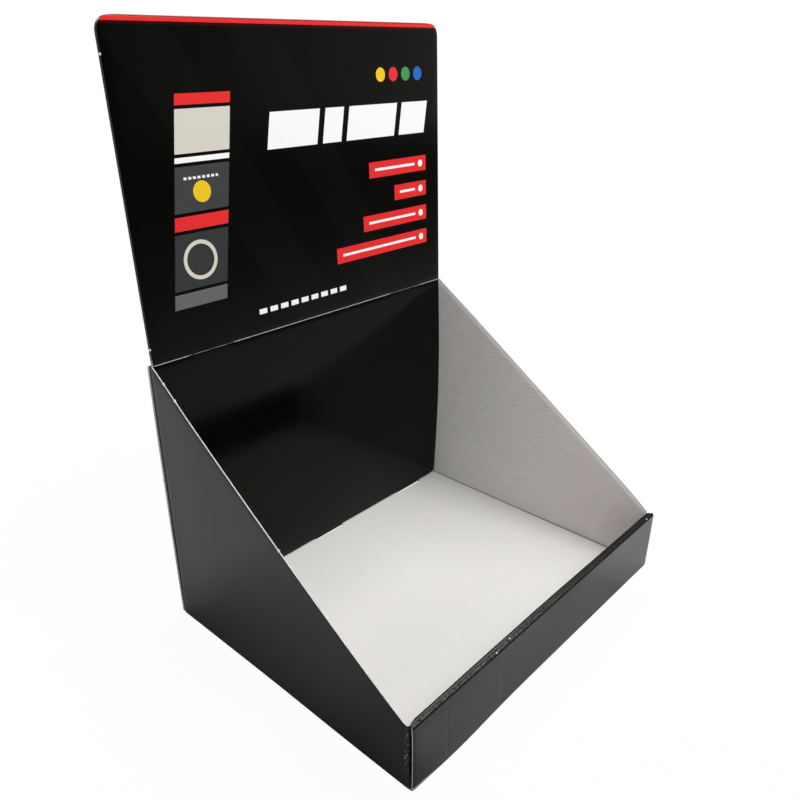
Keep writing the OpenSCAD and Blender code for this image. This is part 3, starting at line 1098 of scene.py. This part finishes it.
def lip_glints(finish, board, tray):
    """Masks of the lip: where its ink is matt, and how far painted glints of its crushed flutes lighten the
    ink.

    Between black lines along the two folds, painted glints of the crushed flutes lighten the ink to a
    mottle, which fades towards the right as the lip mirrors less light. A painted highlight lies along the
    inner fold at the left, and at the right the flutes' glints are painted as a row of cells.
    """
    across, along = finish.blank()
    place = finish.object_place()
    x, y, z = finish.axes(place)
    over = along - (tray.front_h + (math.pi - 2.0) * (board.board_t + board.fold_r))
    strip = finish.ramp(z, tray.front_h - 1.6 * MM, tray.front_h - 1.2 * MM)
    strip = strip * finish.ramp(y - TRAY_LOW.y, 8 * MM, 6 * MM)
    open_ink = strip * finish.ramp(over, -1.5 * MM, -1.0 * MM) * finish.ramp(over, 2.15 * MM, 1.85 * MM)
    fray = finish.noise(place, 1100.0, 3.0)
    wave = flute_wave(across, board.flute_pitch)
    score = finish.stripe(over, 0.7 * MM, 0.45 * MM, 0.2 * MM)
    # Painted glints of the crushed flutes, kept off the scored line
    mottle = finish.ramp(fray + (wave - 0.5) * 0.04, 0.35, 0.61) * (1.0 - score * 0.6)
    # Painted highlight along the inner fold at the left
    rim = finish.stripe(over, 1.55 * MM, 0.45 * MM, 0.2 * MM) * finish.ramp(x, 0.0, -50 * MM)
    # The painted glints and highlight fade towards the right, where the lip mirrors less light
    glinting = mottle.most(rim) * (1.0 - finish.ramp(x, -60 * MM, 80 * MM) * 0.92)
    # Painted glints of the flutes as a row of cells, fading towards the right
    cells = finish.ramp(wave * 0.5 + fray * 0.6, 0.62, 0.80) * finish.ramp(x, -80 * MM, 0.0)
    cells = cells * finish.stripe(over, -0.4 * MM, 1.1 * MM, 0.5 * MM)
    cells = cells * (0.42 - finish.ramp(x, 50 * MM, 120 * MM) * 0.3)
    return strip, glinting.most(cells) * open_ink


def satin_print(board, tray, colours):
    """Black print of the tray: mottled satin ink with a few scuffs.

    The ink is cracked along the sides' front folds. A painted highlight lies along the crests of their rear
    folds, where the ink is also stretched thin, and another along the front wall's foot at its left end. On
    the lip, painted glints of the crushed flutes lighten the ink.
    """
    finish = Finish(bpy.data.materials.new("satin_black_print"))
    across = finish.blank()[0]
    place = finish.object_place()
    x, y, z = finish.axes(place)
    from_front = y - TRAY_LOW.y
    from_rear = TRAY_HIGH.y - y
    from_side = TRAY_HIGH.x - abs(x)
    mottle = finish.noise(place, 420.0, 3.0)
    cloud = finish.noise(place, 22.0, 2.0)
    grain = finish.noise(place, 2600.0, 2.0)
    scuff = finish.ramp(finish.noise(place, 60.0, 6.0, (1.0, 1.0, 7.0)), 0.62, 0.80)
    ink = finish.mix(mottle * 0.6, colours.satin_black, shaded(colours.satin_black, 1.7))
    ink = finish.mix(scuff * 0.3, ink, shaded(colours.satin_black, 2.4))
    corner = finish.ramp(from_front, 7 * MM, 5 * MM) * finish.ramp(from_side, 1.2 * MM, 0.5 * MM)
    corner = corner * finish.ramp(z, 9 * MM, 17 * MM) * finish.ramp(z, 44 * MM, 38 * MM)
    speck = finish.ramp(finish.noise(place, 1500.0, 1.0), 0.60, 0.66)
    crack = speck * finish.ramp(fold_mark(finish), 0.80, 0.97) * corner
    ink = finish.mix(crack * 0.6, ink, colours.core)
    # Painted glints of the lip's crushed flutes lighten the ink
    strip, glinting = lip_glints(finish, board, tray)
    ink = finish.mix(strip * 0.9, ink, colours.gloss_black)
    ink = finish.mix(glinting, ink, colours.glinting)
    # Painted highlight along the crest of each side's rear fold, where the ink is also stretched thin
    crest_highlight = fold_mark(finish) * finish.ramp(from_rear, 5.5 * MM, 4.5 * MM)
    crest_highlight = crest_highlight * finish.ramp(from_side, 2.2 * MM, 1.4 * MM) * finish.ramp(z, 8 * MM, 14 * MM)
    ink = finish.mix(crest_highlight * (0.25 + cloud * 0.6), ink, colours.glinting)
    # Painted highlight: the front wall's bottom fold at its left end, where it mirrors the bright floor
    foot_h = 0.9 * MM + finish.ramp(x, -108 * MM, -132 * MM) * (1.5 * MM)
    foot = finish.stripe(z, foot_h, 0.8 * MM, 0.3 * MM) * finish.ramp(x, -95 * MM, -110 * MM)
    foot = foot * finish.ramp(from_front, 1.4 * MM, 0.8 * MM)
    ink = finish.mix(foot * 0.42, ink, colours.core)
    roughness = 0.27 + mottle * 0.08 + cloud * 0.06 + crack * 0.3 + strip * 0.5
    wave = flute_wave(across, board.flute_pitch)
    normal = finish.bump(wave * cloud, board.washboard * 0.17)
    normal = finish.bump(cloud, 0.25 * MM, normal)
    normal = finish.bump(grain, 0.004 * MM, normal)
    return finish.board(ink, roughness, normal, 0.30)


def white_liner(board, tray, plan, colours):
    """White uncoated liner: fibres, painted shade of the flutes that show on the walls, and a grey line of
    painted shade along each fold's crease.

    The floor is blotched, and painted lighter at its left rear against the shade of the walls. The right
    wall has a faint blush towards the front.
    The liner is painted lighter below the sides' slanted edges, as painted light where the die's press tilts
    it up, and painted shade darkens it nearly to black in the gap at the back wall's edges.
    """
    finish = Finish(bpy.data.materials.new("white_liner"))
    across = finish.blank()[0]
    place = finish.object_place()
    x, y, z = finish.axes(place)
    from_side = TRAY_HIGH.x - abs(x)
    liner = colours.liner
    fibre = finish.noise(place, 700.0, 4.0)
    cloud = finish.noise(place, 14.0, 3.0)
    paper = finish.mix(fibre * 0.5 + cloud * 0.5, shaded(liner, 0.95), liner)
    tinge = finish.ramp(finish.noise(place, 26.0, 2.0), 0.5, 0.75)
    paper = finish.mix(tinge * 0.5, paper, shaded(liner, (1.0, 0.955, 0.945)))
    blush = finish.ramp(finish.noise(place, 34.0, 3.0), 0.30, 0.62) * finish.ramp(y, 0.0, -70 * MM)
    blush = blush * finish.ramp(x, 122 * MM, 126 * MM) * finish.ramp(z, 2 * MM, 6 * MM)
    paper = finish.mix(blush * 0.6, paper, shaded(liner, (1.0, 0.87, 0.86)))
    on_floor = finish.ramp(z, 6 * MM, 2 * MM)
    blotch = on_floor * finish.noise(place, 320.0, 3.0)
    paper = finish.mix(blotch * 0.3, paper, shaded(liner, 0.8))
    # Painted light: the floor is lightened towards its left rear, against the shade that the walls cast
    # there
    painted_lift = on_floor * finish.ramp(y, -45 * MM, 30 * MM) * finish.ramp(x, 100 * MM, 0.0)
    paper = finish.mix(painted_lift * 0.45, paper, shaded(liner, 1.22))
    # Painted shade of the flutes that show through the liner, strongest on the walls and weaker towards the
    # front
    drift = across + (finish.noise(place, 55.0, 2.0) - 0.5) * (5 * MM)
    streak = finish.ramp(finish.noise(place, 420.0, 2.0, (1.0, 0.25, 1.0)), 0.25, 0.75)
    on_wall = finish.ramp(z, 2 * MM, 10 * MM) * (1.0 - finish.ramp(y, 0.0, -80 * MM) * 0.55)
    line = flute_wave(drift, board.flute_pitch) * streak * (0.04 + on_wall * 0.34)
    paper = finish.mix(line, paper, shaded(liner, 0.6))
    # Painted light: the liner below the sides' slanted edges is lightened where the die's press tilts it up
    steep = (tray.back_h - plan.side_front_h) / (plan.side_y1 - plan.side_y0)
    below = ((y - plan.side_y0) * steep + plan.side_front_h - z) / math.hypot(1.0, steep)
    pressed = finish.ramp(below, 3.4 * MM, 2.2 * MM) * finish.ramp(abs(x), 122 * MM, 125 * MM)
    paper = finish.mix(pressed * 0.8, paper, shaded(liner, 1.16))
    fleck = finish.ramp(finish.noise(place, 1300.0, 2.0), 0.70, 0.80)
    paper = finish.mix(fleck * 0.12, paper, shaded(liner, 0.45))
    # Painted shade in the creases: the liner is darkened along each fold
    crease = finish.ramp(fold_mark(finish), 0.35, 1.0)
    paper = finish.mix(crease * 0.68, paper, shaded(liner, 0.22))
    # Painted shade: the liner's sliver at the back wall's edges, deep in the gap beside the sides' rear
    # flaps, is darkened nearly to black
    darkened = finish.ramp(from_side, 3.4 * MM, 2.8 * MM) * finish.ramp(from_side, 0.65 * MM, 0.95 * MM)
    darkened = darkened * finish.ramp(TRAY_HIGH.y - y, 3.0 * MM, 2.2 * MM)
    paper = finish.mix(darkened * 0.9, paper, colours.satin_black)
    wave = flute_wave(across, board.flute_pitch)
    normal = finish.bump(wave * cloud, board.washboard)
    normal = finish.bump(fibre, 0.015 * MM, normal)
    return finish.board(paper, 0.72 + fibre * 0.12, normal, 0.35)


def cut_core(board, colours):
    """Cut edge of the board: two liners, the wave of the flute between them and shaded hollows.

    As a share of the board's thickness, the flute's paper lies at the depth 0.5 + 0.34 sin(2 pi u / pitch).
    Up the header, ink is drawn over the pressed edge. Along the right side and on the front wall's ends the
    edge is darker on the side of its printed face.
    """
    finish = Finish(bpy.data.materials.new("cut_board_edge"))
    across, depth = finish.blank()
    place = finish.object_place()
    ragged = finish.noise(place, 1500.0, 3.0)
    share = depth / board.board_t + (ragged - 0.5) * 0.12
    middle = (across * (2 * math.pi / board.flute_pitch)).sine() * 0.34 + 0.5
    flute = 1.0 - finish.ramp(abs(share - middle), 0.08, 0.17)
    liners = finish.ramp(abs(share - 0.5), 0.32, 0.38)
    paper = flute.most(liners)
    tone = finish.mix(ragged, shaded(colours.core, 0.88), colours.core)
    base = finish.mix(paper, colours.hollow, tone)
    x, y, z = finish.axes(place)
    lip_end = finish.ramp(y - TRAY_LOW.y, 2.2 * MM, 1.8 * MM)
    darkened = finish.ramp(x, 100 * MM, 120 * MM) * (1.0 - finish.ramp(share, 0.40, 0.55))
    darkened = darkened.most(lip_end * (1.0 - finish.ramp(share, 0.16, 0.28)))
    base = finish.mix(darkened * 0.9, base, colours.satin_black)
    inked = finish.ramp(z - TRAY_HIGH.z, 1.5 * MM, 4 * MM)
    inked = inked * (1.0 - finish.ramp(share, 1.2, 1.4)) * (0.96 - finish.ramp(share, 0.72, 0.92) * 0.35)
    base = finish.mix(inked, base, shaded(colours.core, 0.05))
    normal = finish.bump(paper * 0.8 + ragged * 0.2, 0.12 * MM)
    return finish.board(base, 0.85, normal, 0.2)


class Artwork:
    """Flat shapes in the header's own plane: x across and h up from the crease, in metres."""

    # Width over which a printed edge fades
    soft = 0.18 * MM

    def __init__(self, finish, x, h):
        self.finish = finish
        self.x = x
        self.h = h

    def edge(self, distance):
        """1 where the distance inside a shape is positive, 0 outside."""
        return (distance / self.soft + 0.5).clamp()

    def slab(self, x0, x1, h0, h1, slant=0.0):
        """Parallelogram between two heights, whose ends lean by slant."""
        x = self.x - self.h * slant + h0 * slant if slant else self.x
        return self.edge((x - x0).least(x1 - x).least((self.h - h0).least(h1 - self.h)))

    def disc(self, x, h, radius):
        """Round dot."""
        return self.edge(radius - ((self.x - x) ** 2.0 + (self.h - h) ** 2.0) ** 0.5)

    def dashes(self, x0, x1, h0, h1, pitch, share):
        """Row of dashes, each filling a share of the pitch."""
        step = (self.x - x0) % pitch
        return self.slab(x0, x1, h0, h1) * self.edge(share * pitch - step)


def header_art(art, base, colours):
    """Generic print of the header: stripes of tone, a leaning pillar, bars, dots, labels and dashes."""
    mix = art.finish.mix
    lean = art.x + art.h * 0.62
    for low, high in ((-20, 22), (58, 96)):
        stripe = art.edge((lean - low * MM).least(high * MM - lean))
        base = mix(stripe, base, colours.tone_black)
    pillar = (
        (30, 39, colours.grey), (41, 74, shaded(colours.grey, 0.30)), (76, 84, colours.red),
        (86, 112, shaded(colours.grey, 0.42)), (114, 117, colours.white), (119, 143, colours.cream),
        (145, 151, colours.red))
    for low, high, tone in pillar:
        start = -114 + 0.16 * (low - 30)
        base = mix(art.slab(start * MM, (start + 38) * MM, low * MM, high * MM, 0.16), base, tone)
    ring = art.disc(-91.5 * MM, 57.5 * MM, 12 * MM) * (1.0 - art.disc(-91.5 * MM, 57.5 * MM, 9.6 * MM))
    base = mix(ring, base, colours.cream)
    base = mix(art.disc(-84.5 * MM, 97 * MM, 6.2 * MM), base, colours.yellow)
    base = mix(art.dashes(-96 * MM, -72 * MM, 104.5 * MM, 106 * MM, 3.2 * MM, 0.62), base, colours.white)
    for start, end in ((-33, 9), (14, 31), (36, 84), (89, 117)):
        base = mix(art.slab(start * MM, end * MM, 116 * MM, 138 * MM, 0.2), base, colours.white)
    tones = (colours.yellow, colours.red, colours.green, colours.blue)
    for place, tone in enumerate(tones):
        base = mix(art.disc((72 + 13 * place) * MM, 157 * MM, 4.6 * MM), base, tone)
    for place, wide in enumerate((62, 36, 70, 98)):
        h = 94 - 18.5 * place
        base = mix(art.slab((119 - wide) * MM, 119 * MM, (h - 5.5) * MM, (h + 5.5) * MM), base, colours.red)
        line = art.slab((125 - wide) * MM, 106 * MM, (h - 0.9) * MM, (h + 0.9) * MM)
        dot = art.disc(112.5 * MM, h * MM, 2.5 * MM)
        base = mix(line.most(dot), base, colours.white)
    base = mix(art.dashes(-52 * MM, 30 * MM, 13 * MM, 16.5 * MM, 9.2 * MM, 0.7), base, colours.white)
    return base


def header_print(board, header, tray, colours):
    """Gloss print of the card: black with the header's artwork on its front layer.

    A red band runs along the header's top edge, dark where it turns over and with a dark line below it.
    """
    finish = Finish(bpy.data.materials.new("header_gloss_print"))
    across, along = finish.blank()
    place = finish.object_place()
    crease_at = tray.back_h + header.crease_rise - board.tab_lift
    rise = along - crease_at
    mottle = finish.noise(place, 380.0, 3.0)
    cloud = finish.noise(place, 16.0, 2.0)
    ink = finish.mix(mottle * 0.5, colours.gloss_black, shaded(colours.gloss_black, 1.6))
    art = Artwork(finish, across, rise)
    printed = header_art(art, ink, colours)
    on_front = art.edge(rise - 2 * MM) * art.edge(header.height - 1 * MM - rise)
    base = finish.mix(on_front, ink, printed)
    band_foot = header.height - header.band_h
    under = finish.ramp(rise, band_foot - 2.2 * MM, band_foot - 0.4 * MM) * art.edge(header.height - rise)
    base = finish.mix(under * 0.7, base, shaded(colours.red, 0.06))
    band = art.edge(rise - band_foot) * art.edge(header.height + 1.6 * MM - rise)
    base = finish.mix(band, base, colours.red)
    ridge = band * art.edge(rise - header.height + 0.8 * MM)
    base = finish.mix(ridge * 0.9, base, shaded(colours.red, 0.2))
    crack = finish.ramp(finish.noise(place, 800.0, 2.0), 0.30, 0.55)
    crack = crack * art.edge(0.12 * MM - abs(rise - 0.04 * MM))
    base = finish.mix(crack * 0.6, base, colours.core)
    wave = flute_wave(across, board.flute_pitch)
    normal = finish.bump(wave * cloud, board.washboard * 0.08)
    normal = finish.bump(cloud, 0.15 * MM, normal)
    normal = finish.bump(finish.noise(place, 420.0, 1.0), 0.010 * MM, normal)
    normal = finish.bump(finish.noise(place, 2200.0, 2.0), 0.003 * MM, normal)
    return finish.board(base, 0.09 + mottle * 0.05 + cloud * 0.05, normal, 0.125, (1.0, 0.99, 0.86))


# Operators


class DISPLAY_OT_fold_tray(bpy.types.Operator):
    """Fold the tray from one sheet: floor, back, sides, tuck flaps and rolled front"""

    bl_idname = "display.fold_tray"
    bl_label = "Fold tray"

    def execute(self, context):
        scene = context.scene
        board, tray, header = scene.display_board, scene.display_tray, scene.display_header
        plan = tray_plan(board, tray, header)
        slots = floor_slots(board, tray, header, plan)
        lines = floor_lines(plan, slots)
        floor, *tufts = fold_floor_and_back(board, tray, plan, slots, lines)
        left, *side_tufts = fold_side(board, tray, plan, lines, tray.bow_left, tray.belly_left, SIDE_NICKS)
        right = fold_side(board, tray, plan, lines, tray.bow_right, tray.belly_right, np.zeros(0))[0]
        front, *chips = roll_front(board, tray, plan)
        body = weld_shell(join_shells([floor, left, mirror_shell(right)]))
        colours = scene.display_colours
        finishes = [satin_print(board, tray, colours), white_liner(board, tray, plan, colours),
                    cut_core(board, colours)]
        shell = join_shells([body, weld_shell(front), *tufts, *side_tufts, *chips])
        piece = add_piece("tray_sheet", shell, finishes)
        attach(piece, "root")
        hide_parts("tray")
        return {"FINISHED"}


class DISPLAY_OT_fold_header(bpy.types.Operator):
    """Fold the header card from one sheet and print it"""

    bl_idname = "display.fold_header"
    bl_label = "Fold header card"

    def execute(self, context):
        scene = context.scene
        board, tray, header = scene.display_board, scene.display_tray, scene.display_header
        plan = tray_plan(board, tray, header)
        colours = scene.display_colours
        finishes = [header_print(board, header, tray, colours), bpy.data.materials["white_liner"],
                    bpy.data.materials["cut_board_edge"]]
        sheet, tufts = fold_card(board, tray, header, plan)
        piece = add_piece("header_sheet", join_shells([weld_shell(sheet), tufts]), finishes)
        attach(piece, "root")
        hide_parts("header_card")
        return {"FINISHED"}


def mirrored(finish):
    """1 for glossy and transmission rays, 0 for the rest."""
    names = ("Is Glossy Ray", "Is Transmission Ray")
    rays = [finish.node("ShaderNodeLightPath", None, None, name) for name in names]
    return rays[0].most(rays[1])


def set_world(scene, studio):
    """Surroundings: white where the camera sees them, and dim as diffuse light.

    As gloss mirrors them they are pale on the right, a little less dim overhead, and darkest in front.
    """
    finish = Finish(bpy.data.worlds.new("white_studio"))
    way = finish.node("ShaderNodeTexCoord", None, None, "Generated")
    x, y, z = finish.axes(way)
    shade = finish.ramp(z, 0.05, 0.35) * finish.ramp(y, -0.2, -0.6)
    side = finish.ramp(x, 0.3, 0.9) * (0.7 - finish.ramp(z, 0.2, 0.6) * 0.35)
    level = side + finish.ramp(z, 0.3, 0.9) * 0.15 + studio.dim
    level = level * (1.0 - shade * 0.8)
    room = finish.mix(level, (0.0, 0.0, 0.0), (1.0, 1.0, 1.0))
    tone = finish.mix(mirrored(finish), (studio.ambient, studio.ambient, studio.ambient), room)
    camera = finish.node("ShaderNodeLightPath", None, None, "Is Camera Ray")
    light = finish.node("ShaderNodeBackground", None, {"Color": finish.mix(camera, tone, (1.0, 1.0, 1.0))})
    finish.node("ShaderNodeOutputWorld", None, {"Surface": light})
    scene.world = finish.owner


def set_floor(scene):
    """Pale floor that the camera sees as the white background, with a faint shadow near the display.

    Its colour has painted shade in front of the display and close to its left, and painted light that makes
    it palest at its right, for the display's gloss to mirror.
    """
    half, below = 6.0, -0.3 * MM
    mesh = bpy.data.meshes.new("studio_floor")
    corners = [(a * half, b * half, below) for a, b in ((-1, -1), (1, -1), (1, 1), (-1, 1))]
    mesh.from_pydata(corners, [], [(0, 1, 2, 3)])
    finish = Finish(bpy.data.materials.new("studio_floor"))
    place = finish.object_place()
    x, y = finish.axes(place)[:2]
    # Painted shade and light in the floor's colour: darker in front and beside the left wall, paler far out
    # and at the right
    front = 0.76 - finish.ramp(y, -0.13, -0.2) * 0.06 - finish.ramp(y, -0.16, -0.8) * 0.42
    left = 0.335 + finish.ramp(y, -0.08, 0.0) * 0.2
    beside = finish.ramp(x, -0.10, -0.135)
    tone = front * (1.0 - beside) + left * beside
    tone = tone.most(finish.ramp(x, -0.15, -0.24).most(finish.ramp(y, 0.05, 0.15)) * 0.85)
    tone = tone.most(finish.ramp(x, 0.05, 0.12) * finish.ramp(y, -0.3, -0.2))
    lit = finish.node("ShaderNodeBsdfPrincipled", None, {
        "Base Color": finish.mix(tone, (0.0, 0.0, 0.0), (1.0, 1.0, 1.0)), "Roughness": 1.0,
        "Specular IOR Level": 0.0})
    white = finish.node("ShaderNodeEmission", None, {"Color": (1.0, 1.0, 1.0), "Strength": 1.0})
    camera = finish.node("ShaderNodeLightPath", None, None, "Is Camera Ray")
    away = finish.node("ShaderNodeVectorMath", {"operation": "LENGTH"}, {0: place}, "Value")
    factor = camera * (0.97 + finish.ramp(away, 0.2, 0.6) * 0.03)
    surface = finish.node("ShaderNodeMixShader", None, {0: factor, 1: lit, 2: white})
    finish.node("ShaderNodeOutputMaterial", None, {"Surface": surface})
    mesh.materials.append(finish.owner)
    floor = bpy.data.objects.new("studio_floor", mesh)
    scene.collection.objects.link(floor)


def add_lamp(scene, name, size, power, at, aim):
    """Square softbox at a place, aimed at a point."""
    lamp = bpy.data.lights.new(name, "AREA")
    lamp.size = size
    lamp.energy = power
    holder = bpy.data.objects.new(name, lamp)
    scene.collection.objects.link(holder)
    holder.location = at
    toward = Vector(aim) - Vector(at)
    holder.rotation_euler = toward.to_track_quat("-Z", "Y").to_euler()


class DISPLAY_OT_set_stage(bpy.types.Operator):
    """Set the white studio, its lamps and the camera"""

    bl_idname = "display.set_stage"
    bl_label = "Set stage"

    def execute(self, context):
        scene = context.scene
        studio = scene.display_studio
        set_world(scene, studio)
        set_floor(scene)
        for name, size, power, at in (("rear_softbox", studio.rear_size, studio.rear_w, studio.rear_at),
                                      ("front_softbox", studio.front_size, studio.front_w, studio.front_at)):
            add_lamp(scene, name, size, power, at, studio.aim_at)
        camera = bpy.data.cameras.new("camera")
        camera.sensor_width = 36.0
        camera.lens = studio.camera_lens
        camera.shift_x, camera.shift_y = studio.camera_shift
        camera.clip_start = 0.01
        holder = bpy.data.objects.new("camera", camera)
        scene.collection.objects.link(holder)
        holder.location = studio.camera_at
        holder.rotation_euler = studio.camera_turn
        scene.camera = holder
        scene.view_settings.view_transform = "Standard"
        return {"FINISHED"}


class DISPLAY_PT_folder(bpy.types.Panel):
    """Sidebar list of the display's steps"""

    bl_idname = "DISPLAY_PT_folder"
    bl_label = "Counter display"
    bl_space_type = "VIEW_3D"
    bl_region_type = "UI"
    bl_category = "Display"

    def draw(self, context):
        for step in STEPS:
            self.layout.operator(step.bl_idname)


GROUPS = {
    "display_board": BoardSizes,
    "display_tray": TraySizes,
    "display_header": HeaderSizes,
    "display_colours": PrintColours,
    "display_studio": StudioLevels,
}
STEPS = (DISPLAY_OT_fold_tray, DISPLAY_OT_fold_header, DISPLAY_OT_set_stage)


def register():
    """Registers the classes and hangs the property groups on the scene."""
    for group in (*GROUPS.values(), *STEPS, DISPLAY_PT_folder):
        bpy.utils.register_class(group)
    for name, group in GROUPS.items():
        setattr(bpy.types.Scene, name, bpy.props.PointerProperty(type=group))


def unregister():
    """Takes the property groups and the classes away again."""
    for name in GROUPS:
        delattr(bpy.types.Scene, name)
    for group in (DISPLAY_PT_folder, *STEPS[::-1], *GROUPS.values()):
        bpy.utils.unregister_class(group)


def main():
    """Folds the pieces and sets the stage."""
    register()
    bpy.ops.display.fold_tray()
    bpy.ops.display.fold_header()
    bpy.ops.display.set_stage()
    bpy.context.view_layer.update()


if __name__ == "__main__":
    main()
